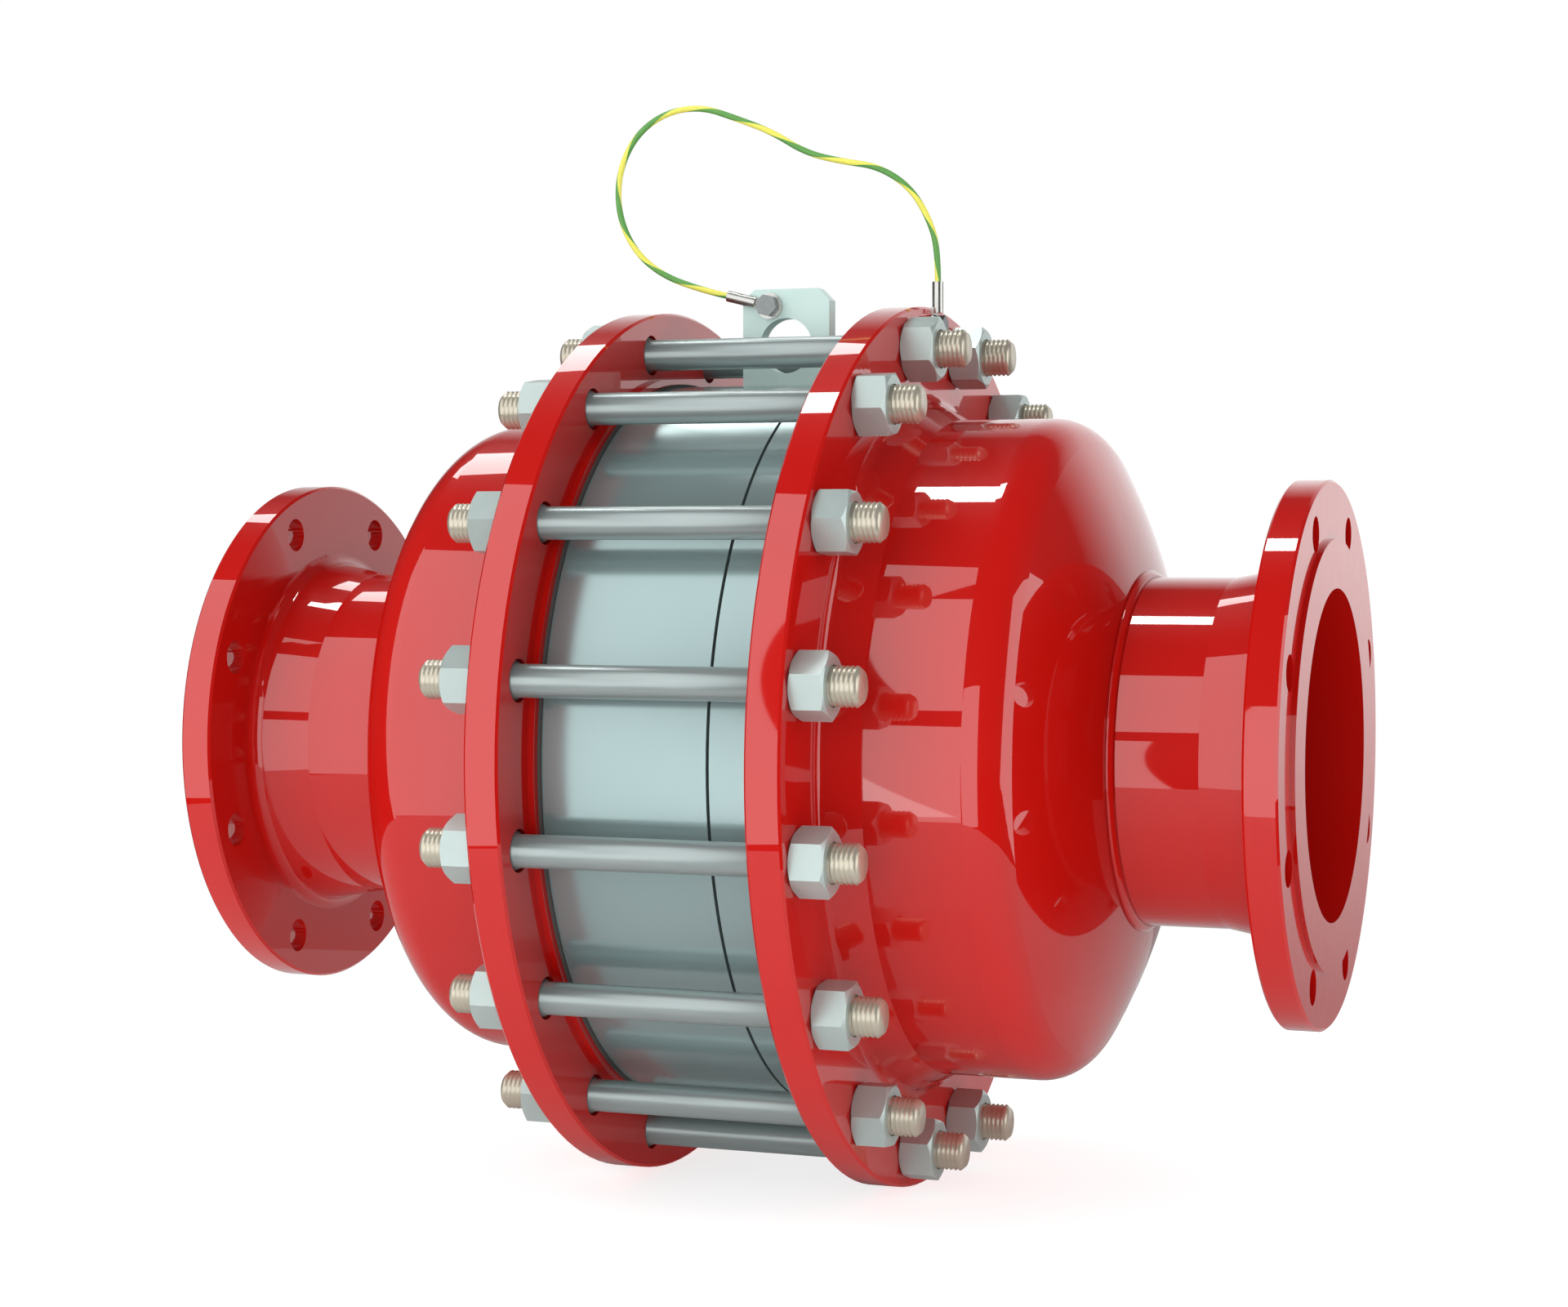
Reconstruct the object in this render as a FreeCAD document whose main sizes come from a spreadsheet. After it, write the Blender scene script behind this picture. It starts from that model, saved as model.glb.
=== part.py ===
import FreeCAD, Part
import math
import os
import Sketcher

# In-line detonation flame arrester for a DN 200 pipe. Two welded housings clamp a cage of
# crimped-ribbon filter discs between them, held by sixteen tie studs. Millimetres.
# The origin is the centre of the inlet flange's raised face. +X is the flow, +Z is up.
# Every x in the sheet is measured outwards from the mid-plane of the cage, except where a
# piece says otherwise, because the two housings are the same welded part turned about.

SIZES = {
    # Whole object
    "half_length": 360.0,            # mid-plane to the raised face of a pipe flange
    # Pipe flange, DN 200 PN 10, weld neck
    "pipe_radius": 109.55, "pipe_bore": 103.25,
    "end_rim_front": 357.0, "end_rim_back": 336.0, "end_hub_end": 298.0,
    "end_rim_radius": 170.0, "end_face_radius": 134.0, "end_hub_radius": 117.0,
    "end_bolt_circle": 147.5, "end_bolt_hole": 11.0, "end_bolts": 8,
    # Neck pipe and the guide tube that runs on inside the housing
    "guide_start": 226.0, "guide_end": 126.0,
    # Dished end: straight skirt, knuckle and crown
    "head_radius": 210.0, "head_wall": 10.0, "head_skirt": 155.0, "head_tangent": 182.0,
    "head_knuckle": 30.0, "head_crown": 400.0,
    # Shell
    "shell_radius": 210.0, "shell_bore": 200.0, "shell_start": 122.0, "shell_end": 155.0,
    # Body flange, DN 400 PN 10
    "body_face": 72.5, "body_rim_front": 76.5, "body_rim_back": 98.5,
    "body_rim_radius": 282.5, "body_face_radius": 241.0, "body_hub_radius": 222.0,
    "body_bolt_circle": 257.5, "body_bolt_hole": 13.0, "body_bolts": 16,
    "hub_fillet": 8.0, "rim_chamfer": 1.5,
    # Gaskets
    "gasket_bore": 202.0, "gasket_radius": 236.0,
    # Cage drum
    "cage_half": 70.5, "cage_radius": 234.0, "cage_bore": 200.0, "cage_lip": 188.0,
    "lip_thick": 11.0, "cage_split": 34.5, "cover_start": 36.5, "seal_radius": 231.0,
    # Screws that hold the cover ring, M10
    "screw_circle": 217.0, "screw_radius": 5.0, "screw_clearance": 5.5, "screw_count": 8,
    "screw_depth": 25.0, "head_recess": 12.0, "recess_radius": 9.0, "screw_head": 8.0,
    "screw_head_high": 10.0, "screw_socket": 4.6, "screw_socket_deep": 5.0,
    "screw_shank": 44.0,
    # Filter stack
    "grid_start": 47.5, "grid_thick": 12.0, "grid_radius": 198.5, "grid_ring": 186.0,
    "bar_width": 7.0, "bar_length": 374.0, "mid_ring": 108.0, "mid_ring_bore": 101.0,
    "disc_thick": 20.0, "spacer_thick": 5.0, "disc_radius": 198.5, "core_radius": 6.0,
    "spacer_bore": 190.0, "spacer_bar": 6.0, "spacer_bar_length": 382.0,
    # Tie studs and nuts, M24
    "stud_half": 137.5, "thread_radius": 12.0, "waist_radius": 10.0, "waist_half": 79.0,
    "stud_taper": 3.0, "stud_tip": 9.5, "nut_across": 20.8, "nut_high": 21.5,
    "nut_bore": 12.3, "nut_face": 17.5,
    # Lifting lug
    "lug_half": 30.0, "lug_thick": 12.0, "lug_half_thick": 6.0, "lug_top": 297.0, "lug_hole": 18.0,
    "lug_hole_high": 260.0, "lug_corner": 8.0,
    # Earthing cable and its two ring terminals, M8
    "cable_radius": 2.0, "tag_radius": 8.5, "tag_thick": 2.0, "tag_bore": 4.3,
    "cable_lead": 22.0, "barrel_radius": 3.6, "barrel_long": 20.0, "barrel_gap": 9.0,
    "bolt_shank": 4.0, "bolt_head": 7.4, "bolt_head_high": 5.3, "bolt_nut_high": 6.8,
    "washer_radius": 8.0, "washer_thick": 1.6, "lug_bolt_long": 25.0,
    "flange_bolt_long": 25.0,
    "lug_tag_x": -11.0, "lug_tag_high": 286.0, "lug_tag_tilt": 14.0,
    "flange_tag_high": 270.0,
}

doc = FreeCAD.newDocument("flame_arrester")
sheet = doc.addObject("Spreadsheet::Sheet", "Sizes")
for row, (name, value) in enumerate(SIZES.items(), 1):
    sheet.set(f"A{row}", name)
    sheet.set(f"B{row}", str(value))
    sheet.setAlias(f"B{row}", name)
doc.recompute()


# Formulas. A size is written as a sum of sheet names and numbers, such as
# "half_length - end_hub_end", and is used twice: bound to the document and, worked out
# once, as the place where a sketch starts from.

def bound(formula):
    """The formula with every name read from the sheet."""
    words = formula.split()
    return " ".join(f"Sizes.{word}" if word in SIZES else word for word in words)


def number(formula):
    """The value of a sum or difference of names and numbers."""
    total, sign = 0.0, 1
    for word in formula.split():
        if word in ("+", "-"):
            sign = 1 if word == "+" else -1
        elif word in SIZES:
            total += sign * SIZES[word]
        else:
            total += sign * float(word)
    return total


# Document objects

NODES = []


def new_body(label):
    """An empty body for one node."""
    body = doc.addObject("PartDesign::Body", label)
    body.Label = label
    body.AllowCompound = True
    NODES.append(body)
    return body


def new_sketch(body, name, role):
    """A sketch on one of the body's own origin planes."""
    plane = [item for item in body.Origin.OriginFeatures if item.Role == role][0]
    sketch = body.newObject("Sketcher::SketchObject", f"{body.Label}_{name}")
    sketch.AttachmentSupport = [(plane, "")]
    sketch.MapMode = "FlatFace"
    return sketch


def pin_point(sketch, line, end, x, y):
    """Place the start (end 1) or the finish (end 2) of a line by two formulas."""
    for kind, formula in (("DistanceX", x), ("DistanceY", y)):
        value = number(formula)
        at = sketch.addConstraint(Sketcher.Constraint(kind, -1, 1, line, end, value))
        sketch.setExpression(f"Constraints[{at}]", bound(formula))


def outline(body, name, role, corners):
    """A closed outline of straight lines, each corner given by two formulas."""
    sketch = new_sketch(body, name, role)
    spots = [FreeCAD.Vector(number(x), number(y), 0) for x, y in corners]
    count = len(spots)
    for k in range(count):
        sketch.addGeometry(Part.LineSegment(spots[k], spots[(k + 1) % count]), False)
    for k in range(count):
        sketch.addConstraint(Sketcher.Constraint("Coincident", k, 2, (k + 1) % count, 1))
    for k, (x, y) in enumerate(corners):
        pin_point(sketch, k, 1, x, y)
    return sketch


def circle(body, name, role, x, y, radius, split=""):
    """A sketch with one circle, placed by formulas, turned by half a step of the split."""
    sketch = new_sketch(body, name, role)
    if split:
        sketch.setExpression("AttachmentOffset.Rotation.Angle", f"180 / {bound(split)}")
    centre = FreeCAD.Vector(number(x), number(y), 0)
    sketch.addGeometry(Part.Circle(centre, FreeCAD.Vector(0, 0, 1), number(radius)), False)
    pin_point(sketch, 0, 3, x, y)
    at = sketch.addConstraint(Sketcher.Constraint("Radius", 0, number(radius)))
    sketch.setExpression(f"Constraints[{at}]", bound(radius))
    return sketch


def turned(body, name, corners):
    """A solid turned about X from (x, radius) corners."""
    sketch = outline(body, name, "XZ_Plane", corners)
    feature = body.newObject("PartDesign::Revolution", f"{body.Label}_{name}_turn")
    feature.Profile = sketch
    feature.ReferenceAxis = (sketch, ["H_Axis"])
    feature.Angle = 360
    doc.recompute()
    return feature


def pad(body, sketch, length, midplane=False):
    """A pad of the sketch by a formula."""
    feature = body.newObject("PartDesign::Pad", f"{sketch.Label}_pad")
    feature.Profile = sketch
    feature.Length = number(length)
    feature.setExpression("Length", bound(length))
    if midplane:
        feature.SideType = "Symmetric"
    doc.recompute()
    return feature


def pocket(body, sketch, depth):
    """A pocket from the sketch's plane towards its normal, by a formula."""
    before = body.Shape.Volume
    feature = body.newObject("PartDesign::Pocket", f"{sketch.Label}_pocket")
    feature.Profile = sketch
    feature.Reversed = True
    feature.Length = number(depth)
    feature.setExpression("Length", bound(depth))
    doc.recompute()
    if body.Shape.Volume > before - 1.0:
        raise RuntimeError(f"{feature.Label} cuts nothing")
    return feature


def around(body, features, count, role="X_Axis"):
    """Features repeated evenly about an axis."""
    axis = [item for item in body.Origin.OriginFeatures if item.Role == role][0]
    pattern = body.newObject("PartDesign::PolarPattern", f"{body.Label}_{features[0].Label}_set")
    pattern.Originals = features
    pattern.Axis = (axis, [""])
    pattern.Angle = 360
    pattern.Occurrences = int(number(count))
    pattern.setExpression("Occurrences", bound(count))
    body.Tip = pattern
    doc.recompute()
    return pattern


def eased(body, kind, size, circles):
    """Fillet or chamfer the round edges that lie at (x, radius), each given by formulas."""
    base = body.Tip
    names = []
    for x, radius in circles:
        for k, edge in enumerate(body.Shape.Edges, 1):
            curve = edge.Curve
            if not isinstance(curve, Part.Circle) or abs(curve.Axis.x) < 0.999:
                continue
            if abs(curve.Center.y) > 0.01 or abs(curve.Center.z) > 0.01:
                continue
            if abs(curve.Center.x - number(x)) < 0.01 and abs(curve.Radius - number(radius)) < 0.01:
                names.append(f"Edge{k}")
    if len(names) < len(circles):
        raise RuntimeError(f"{body.Label} has {len(names)} of {len(circles)} edges to ease")
    feature = body.newObject(f"PartDesign::{kind}", f"{body.Label}_{kind}_{size}")
    feature.Base = (base, names)
    key = "Radius" if kind == "Fillet" else "Size"
    setattr(feature, key, number(size))
    feature.setExpression(key, bound(size))
    doc.recompute()
    return feature


def place(item, x="0", y="0", z="0", turn_z=0.0, turn_x=0.0):
    """Stand a node in the assembly: turned about X, then about Z, then moved."""
    spin = FreeCAD.Rotation(FreeCAD.Vector(1, 0, 0), turn_x)
    flip = FreeCAD.Rotation(FreeCAD.Vector(0, 0, 1), turn_z)
    where = FreeCAD.Vector(number(x), number(y), number(z))
    item.Placement = FreeCAD.Placement(where, flip.multiply(spin))
    for letter, formula in (("x", x), ("y", y), ("z", z)):
        if formula != "0":
            item.setExpression(f"Placement.Base.{letter}", bound(formula))


# Housings. Each piece is made for the outlet side, x outwards from the mid-plane, and is
# turned about Z for the inlet side.

def end_flange(body):
    """Weld-neck pipe flange with a raised face."""
    turned(body, "section", [
        ("half_length", "pipe_bore"), ("half_length", "end_face_radius"),
        ("end_rim_front", "end_face_radius"), ("end_rim_front", "end_rim_radius"),
        ("end_rim_back", "end_rim_radius"), ("end_rim_back", "end_hub_radius"),
        ("end_hub_end", "pipe_radius"), ("end_hub_end", "pipe_bore")])
    eased(body, "Fillet", "hub_fillet", [("end_rim_back", "end_hub_radius")])
    eased(body, "Chamfer", "rim_chamfer", [
        ("end_rim_front", "end_rim_radius"), ("end_rim_back", "end_rim_radius")])
    hole = circle(body, "hole", "YZ_Plane", "0", "end_bolt_circle", "end_bolt_hole", "end_bolts")
    around(body, [pocket(body, hole, "half_length")], "end_bolts")


def neck_pipe(body):
    """Length of pipe between the pipe flange and the dished end."""
    turned(body, "section", [
        ("guide_start", "pipe_bore"), ("guide_start", "pipe_radius"),
        ("end_hub_end", "pipe_radius"), ("end_hub_end", "pipe_bore")])


def guide_tube(body):
    """Tube that leads a shock wave straight onto the filter."""
    turned(body, "section", [
        ("guide_end", "pipe_bore"), ("guide_end", "pipe_radius"),
        ("guide_start", "pipe_radius"), ("guide_start", "pipe_bore")])


def dished_end(body):
    """Pressed head: skirt, knuckle and crown, with a hole for the neck pipe."""
    radius, wall = SIZES["head_radius"], SIZES["head_wall"]
    knuckle, crown = SIZES["head_knuckle"], SIZES["head_crown"]
    tangent, skirt, hole = SIZES["head_tangent"], SIZES["head_skirt"], SIZES["pipe_radius"]
    turn_in = radius - knuckle
    centre = tangent - math.sqrt((crown - knuckle) ** 2 - turn_in ** 2)
    slope = math.asin(turn_in / (crown - knuckle))

    def on_crown(size, angle):
        return FreeCAD.Vector(centre + size * math.cos(angle), size * math.sin(angle), 0)

    outer_end = on_crown(crown, math.asin(hole / crown))
    inner_end = on_crown(crown - wall, math.asin(hole / (crown - wall)))
    inner = radius - wall
    upwards = FreeCAD.Vector(0, 0, 1)
    bend = FreeCAD.Vector(tangent, turn_in, 0)
    middle = FreeCAD.Vector(centre, 0, 0)
    sketch = new_sketch(body, "section", "XZ_Plane")
    skirt_top, skirt_low = FreeCAD.Vector(skirt, radius, 0), FreeCAD.Vector(skirt, inner, 0)
    turn_top = FreeCAD.Vector(tangent, radius, 0)
    turn_low = FreeCAD.Vector(tangent, inner, 0)
    knuckle_out = Part.Circle(bend, upwards, knuckle)
    knuckle_in = Part.Circle(bend, upwards, knuckle - wall)
    crown_out = Part.Circle(middle, upwards, crown)
    crown_in = Part.Circle(middle, upwards, crown - wall)
    half = math.pi / 2
    for item in (
            Part.LineSegment(skirt_top, turn_top),
            Part.ArcOfCircle(knuckle_out, slope, half),
            Part.ArcOfCircle(crown_out, math.asin(hole / crown), slope),
            Part.LineSegment(outer_end, inner_end),
            Part.ArcOfCircle(crown_in, math.asin(hole / (crown - wall)), slope),
            Part.ArcOfCircle(knuckle_in, slope, half),
            Part.LineSegment(turn_low, skirt_low),
            Part.LineSegment(skirt_low, skirt_top)):
        sketch.addGeometry(item, False)
    top, bend_out, cap_out, rim, cap_in, bend_in, low, back = range(8)
    for pair in ((top, 2, bend_out, 2), (bend_out, 1, cap_out, 2), (bend_in, 2, low, 1),
                 (cap_in, 2, bend_in, 1)):
        sketch.addConstraint(Sketcher.Constraint("Tangent", *pair))
    for pair in ((cap_out, 1, rim, 1), (rim, 2, cap_in, 1), (low, 2, back, 1),
                 (back, 2, top, 1), (bend_out, 3, bend_in, 3), (cap_out, 3, cap_in, 3)):
        sketch.addConstraint(Sketcher.Constraint("Coincident", *pair))
    for line in (top, rim):
        sketch.addConstraint(Sketcher.Constraint("Horizontal", line))
    sketch.addConstraint(Sketcher.Constraint("Vertical", back))
    sketch.addConstraint(Sketcher.Constraint("PointOnObject", cap_out, 3, -1))
    for kind, item, end, formula in (
            ("DistanceX", top, 1, "head_skirt"), ("DistanceY", top, 1, "head_radius"),
            ("DistanceX", top, 2, "head_tangent"), ("DistanceY", rim, 1, "pipe_radius"),
            ("DistanceY", low, 2, "head_radius - head_wall")):
        at = sketch.addConstraint(Sketcher.Constraint(kind, -1, 1, item, end, number(formula)))
        sketch.setExpression(f"Constraints[{at}]", bound(formula))
    for item, formula in ((bend_out, "head_knuckle"), (cap_out, "head_crown")):
        at = sketch.addConstraint(Sketcher.Constraint("Radius", item, number(formula)))
        sketch.setExpression(f"Constraints[{at}]", bound(formula))
    feature = body.newObject("PartDesign::Revolution", f"{body.Label}_turn")
    feature.Profile = sketch
    feature.ReferenceAxis = (sketch, ["H_Axis"])
    feature.Angle = 360
    doc.recompute()


def shell(body):
    """Cylinder between the body flange and the dished end."""
    turned(body, "section", [
        ("shell_start", "shell_bore"), ("shell_start", "shell_radius"),
        ("shell_end", "shell_radius"), ("shell_end", "shell_bore")])


def body_flange(body):
    """Weld-neck flange that the tie studs pull onto the cage."""
    turned(body, "section", [
        ("body_face", "shell_bore"), ("body_face", "body_face_radius"),
        ("body_rim_front", "body_face_radius"), ("body_rim_front", "body_rim_radius"),
        ("body_rim_back", "body_rim_radius"), ("body_rim_back", "body_hub_radius"),
        ("shell_start", "shell_radius"), ("shell_start", "shell_bore")])
    eased(body, "Fillet", "hub_fillet", [("body_rim_back", "body_hub_radius")])
    eased(body, "Chamfer", "rim_chamfer", [
        ("body_rim_front", "body_rim_radius"), ("body_rim_back", "body_rim_radius")])
    hole = circle(body, "hole", "YZ_Plane", "0", "body_bolt_circle", "body_bolt_hole",
                  "body_bolts")
    around(body, [pocket(body, hole, "body_rim_back + 1")], "body_bolts")


def gasket(body):
    """Flat ring between the cage and a body flange."""
    turned(body, "section", [
        ("cage_half", "gasket_bore"), ("cage_half", "gasket_radius"),
        ("body_face", "gasket_radius"), ("body_face", "gasket_bore")])


HOUSING = {
    "pipe_flange": end_flange, "neck_pipe": neck_pipe, "guide_tube": guide_tube,
    "dished_end": dished_end, "shell": shell, "body_flange": body_flange,
    "gasket": gasket,
}
for side, turn in (("inlet", 180.0), ("outlet", 0.0)):
    for piece, make in HOUSING.items():
        body = new_body(f"{side}_{piece}")
        make(body)
        place(body, x="half_length", turn_z=turn)

# One more hole, tapped for the earthing screw, at the top of the outlet body flange.
flange = doc.getObject("outlet_body_flange")
earth = circle(flange, "earth_hole", "YZ_Plane", "0", "flange_tag_high", "bolt_shank")
pocket(flange, earth, "body_rim_back + 1")


# Cage drum. Its pieces are drawn about the mid-plane too, so x runs from minus to plus.

def minus(name):
    """Formula for the mirror image of a size."""
    return f"0 - {name}"


cage_body = new_body("cage_body")
turned(cage_body, "section", [
    (minus("cage_half"), "cage_lip"), (minus("cage_half"), "cage_radius"),
    ("cage_split", "cage_radius"), ("cage_split", "cage_bore"),
    ("lip_thick - cage_half", "cage_bore"), ("lip_thick - cage_half", "cage_lip")])


def turned_off_axis(kind, body, name, corners, count):
    """A set about X of features turned about the line from the last corner to the first."""
    sketch = outline(body, name, "XZ_Plane", corners)
    edge = sketch.GeometryCount - 1
    line = sketch.addGeometry(sketch.Geometry[edge], True)
    sketch.addConstraint(Sketcher.Constraint("Coincident", line, 1, edge, 1))
    sketch.addConstraint(Sketcher.Constraint("Coincident", line, 2, edge, 2))
    before = body.Shape.Volume if kind == "Groove" else 0.0
    feature = body.newObject(f"PartDesign::{kind}", f"{body.Label}_{name}_{kind}")
    feature.Profile = sketch
    feature.ReferenceAxis = (sketch, ["Axis0"])
    feature.Angle = 360
    doc.recompute()
    if kind == "Groove" and body.Shape.Volume > before - 1.0:
        raise RuntimeError(f"{feature.Label} cuts nothing")
    return around(body, [feature], count)


turned_off_axis("Groove", cage_body, "tapped_hole", [
    ("cage_split - screw_depth", "screw_circle"),
    ("cage_split - screw_depth", "screw_circle + screw_radius"),
    ("cage_split", "screw_circle + screw_radius"), ("cage_split", "screw_circle")],
    "screw_count")
place(cage_body, x="half_length")

cage_seal = new_body("cage_seal")
turned(cage_seal, "section", [
    ("cage_split", "cage_bore"), ("cage_split", "seal_radius"),
    ("cover_start", "seal_radius"), ("cover_start", "cage_bore")])
seal_hole = circle(cage_seal, "hole", "YZ_Plane", "0", "screw_circle", "screw_clearance")
around(cage_seal, [pocket(cage_seal, seal_hole, "cage_half")], "screw_count")
place(cage_seal, x="half_length")

cover_ring = new_body("cage_cover_ring")
turned(cover_ring, "section", [
    ("cover_start", "cage_bore"), ("cover_start", "cage_radius"),
    ("cage_half", "cage_radius"), ("cage_half", "cage_lip"),
    ("cage_half - lip_thick", "cage_lip"), ("cage_half - lip_thick", "cage_bore")])
turned_off_axis("Groove", cover_ring, "screw_hole", [
    ("cover_start", "screw_circle"), ("cover_start", "screw_circle + screw_clearance"),
    ("cage_half - head_recess", "screw_circle + screw_clearance"),
    ("cage_half - head_recess", "screw_circle + recess_radius"),
    ("cage_half", "screw_circle + recess_radius"), ("cage_half", "screw_circle")],
    "screw_count")
place(cover_ring, x="half_length")

cage_screws = new_body("cage_screws")
seat = "cage_half - head_recess"
turned_off_axis("Revolution", cage_screws, "section", [
    (f"{seat} - screw_shank", "screw_circle"),
    (f"{seat} - screw_shank", "screw_circle + screw_radius"),
    (seat, "screw_circle + screw_radius"), (seat, "screw_circle + screw_head"),
    (f"{seat} + screw_head_high", "screw_circle + screw_head"),
    (f"{seat} + screw_head_high", "screw_circle + screw_socket"),
    (f"{seat} + screw_head_high - screw_socket_deep", "screw_circle + screw_socket"),
    (f"{seat} + screw_head_high - screw_socket_deep", "screw_circle")], "screw_count")
place(cage_screws, x="half_length")


# Filter stack: a support grid at each end, four ribbon discs, three spacers.

def ring_pad(body, name, outer, inner, length):
    """A flat ring standing on the YZ plane."""
    sketch = circle(body, name, "YZ_Plane", "0", "0", outer)
    sketch.addGeometry(Part.Circle(FreeCAD.Vector(0, 0, 0), FreeCAD.Vector(0, 0, 1),
                                   number(inner)), False)
    sketch.addConstraint(Sketcher.Constraint("Coincident", 1, 3, -1, 1))
    at = sketch.addConstraint(Sketcher.Constraint("Radius", 1, number(inner)))
    sketch.setExpression(f"Constraints[{at}]", bound(inner))
    return pad(body, sketch, length)


def crossing_bars(body, length, width, thick, count):
    """Bars that cross at the axis. The width and length are whole sizes."""
    sketch = new_sketch(body, "bar", "YZ_Plane")
    half_w, half_l = number(width) / 2, number(length) / 2
    spots = [FreeCAD.Vector(-half_w, -half_l, 0), FreeCAD.Vector(half_w, -half_l, 0),
             FreeCAD.Vector(half_w, half_l, 0), FreeCAD.Vector(-half_w, half_l, 0)]
    for k in range(4):
        sketch.addGeometry(Part.LineSegment(spots[k], spots[(k + 1) % 4]), False)
    for k in range(4):
        sketch.addConstraint(Sketcher.Constraint("Coincident", k, 2, (k + 1) % 4, 1))
    for k, kind in enumerate(("Horizontal", "Vertical", "Horizontal", "Vertical")):
        sketch.addConstraint(Sketcher.Constraint(kind, k))
    sketch.addConstraint(Sketcher.Constraint("Symmetric", 0, 1, 2, 1, -1, 1))
    for kind, line, formula in (("DistanceX", 0, width), ("DistanceY", 1, length)):
        at = sketch.addConstraint(Sketcher.Constraint(kind, line, 1, line, 2, number(formula)))
        sketch.setExpression(f"Constraints[{at}]", bound(formula))
    bar = pad(body, sketch, thick)
    return around(body, [bar], count)


for side, start, spin in (("inlet", "half_length - grid_start - grid_thick", 22.5),
                          ("outlet", "half_length + grid_start", 0.0)):
    grid = new_body(f"{side}_support_grid")
    ring_pad(grid, "rim", "grid_radius", "grid_ring", "grid_thick")
    ring_pad(grid, "inner_ring", "mid_ring", "mid_ring_bore", "grid_thick")
    crossing_bars(grid, "bar_length", "bar_width", "grid_thick", "8")
    place(grid, x=start, turn_x=spin)

DISCS = 4
pitch = "disc_thick + spacer_thick"
stack_start = "half_length - grid_start"
for k in range(DISCS):
    disc = new_body(f"filter_disc_{k + 1}")
    ring_pad(disc, "ribbon", "disc_radius", "core_radius", "disc_thick")
    steps = " + ".join([stack_start] + [pitch] * k)
    place(disc, x=steps)
    if k < DISCS - 1:
        spacer = new_body(f"spacer_{k + 1}")
        ring_pad(spacer, "rim", "disc_radius", "spacer_bore", "spacer_thick")
        crossing_bars(spacer, "spacer_bar_length", "spacer_bar", "spacer_thick", "4")
        place(spacer, x=f"{steps} + disc_thick", turn_x=45.0)

cores = new_body("filter_cores")
pin = circle(cores, "pin", "YZ_Plane", "0", "0", "core_radius")
core_pin = pad(cores, pin, "disc_thick")
row = cores.newObject("PartDesign::LinearPattern", "filter_cores_row")
row.Originals = [core_pin]
row.Direction = ([item for item in cores.Origin.OriginFeatures if item.Role == "X_Axis"][0], [""])
row.Length = number(pitch) * (DISCS - 1)
row.setExpression("Length", f"({bound(pitch)}) * {DISCS - 1}")
row.Occurrences = DISCS
cores.Tip = row
doc.recompute()
place(cores, x=stack_start)


# Tie studs and hexagon nuts

studs = new_body("tie_studs")
turned_off_axis("Revolution", studs, "section", [
    (minus("stud_half"), "body_bolt_circle"),
    (minus("stud_half"), "body_bolt_circle + stud_tip"),
    ("stud_taper - stud_half", "body_bolt_circle + thread_radius"),
    (minus("waist_half"), "body_bolt_circle + thread_radius"),
    (minus("waist_half") + " + stud_taper", "body_bolt_circle + waist_radius"),
    ("waist_half - stud_taper", "body_bolt_circle + waist_radius"),
    ("waist_half", "body_bolt_circle + thread_radius"),
    ("stud_half - stud_taper", "body_bolt_circle + thread_radius"),
    ("stud_half", "body_bolt_circle + stud_tip"),
    ("stud_half", "body_bolt_circle")], "body_bolts")
step_angle = 360.0 / SIZES["body_bolts"]
place(studs, x="half_length", turn_x=step_angle / 2)


def hexagon_nut(angle):
    """One nut with turned-off corners, standing on x = 0, turned about its own axis."""
    across, high, bore = number("nut_across"), number("nut_high"), number("nut_bore")
    corners = []
    for k in range(7):
        turn = math.radians(angle + 60 * k)
        corners.append(FreeCAD.Vector(0, across * math.cos(turn), across * math.sin(turn)))
    prism = Part.Face(Part.makePolygon(corners)).extrude(FreeCAD.Vector(high, 0, 0))
    face, depth = number("nut_face"), across - number("nut_face")
    slope = depth * math.tan(math.radians(30))
    profile = [(0, 0), (0, face), (slope, across), (high - slope, across), (high, face), (high, 0)]
    spots = [FreeCAD.Vector(x, y, 0) for x, y in profile]
    barrel = Part.Face(Part.makePolygon(spots + spots[:1]))
    barrel = barrel.revolve(FreeCAD.Vector(0, 0, 0), FreeCAD.Vector(1, 0, 0), 360)
    drill = Part.makeCylinder(bore, high, FreeCAD.Vector(0, 0, 0), FreeCAD.Vector(1, 0, 0))
    return prism.common(barrel).cut(drill)


def nut_ring(label, x, turn_z, first_angle):
    """The nuts of one side. Each stopped at its own angle when it was tightened."""
    nuts = []
    for k in range(SIZES["body_bolts"]):
        nut = hexagon_nut(first_angle + 23.0 * k)
        nut.translate(FreeCAD.Vector(0, 0, number("body_bolt_circle")))
        nut.rotate(FreeCAD.Vector(0, 0, 0), FreeCAD.Vector(1, 0, 0), step_angle * (k + 0.5))
        nuts.append(nut)
    item = doc.addObject("Part::Feature", label)
    item.Label = label
    item.Shape = Part.makeCompound(nuts)
    place(item, x=x, turn_z=turn_z)
    NODES.append(item)


nut_ring("inlet_nuts", "half_length - body_rim_back", 180.0, 4.0)
nut_ring("outlet_nuts", "half_length + body_rim_back", 0.0, 11.0)


# Lifting lug, a plate with an eye that stands on the drum

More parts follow.
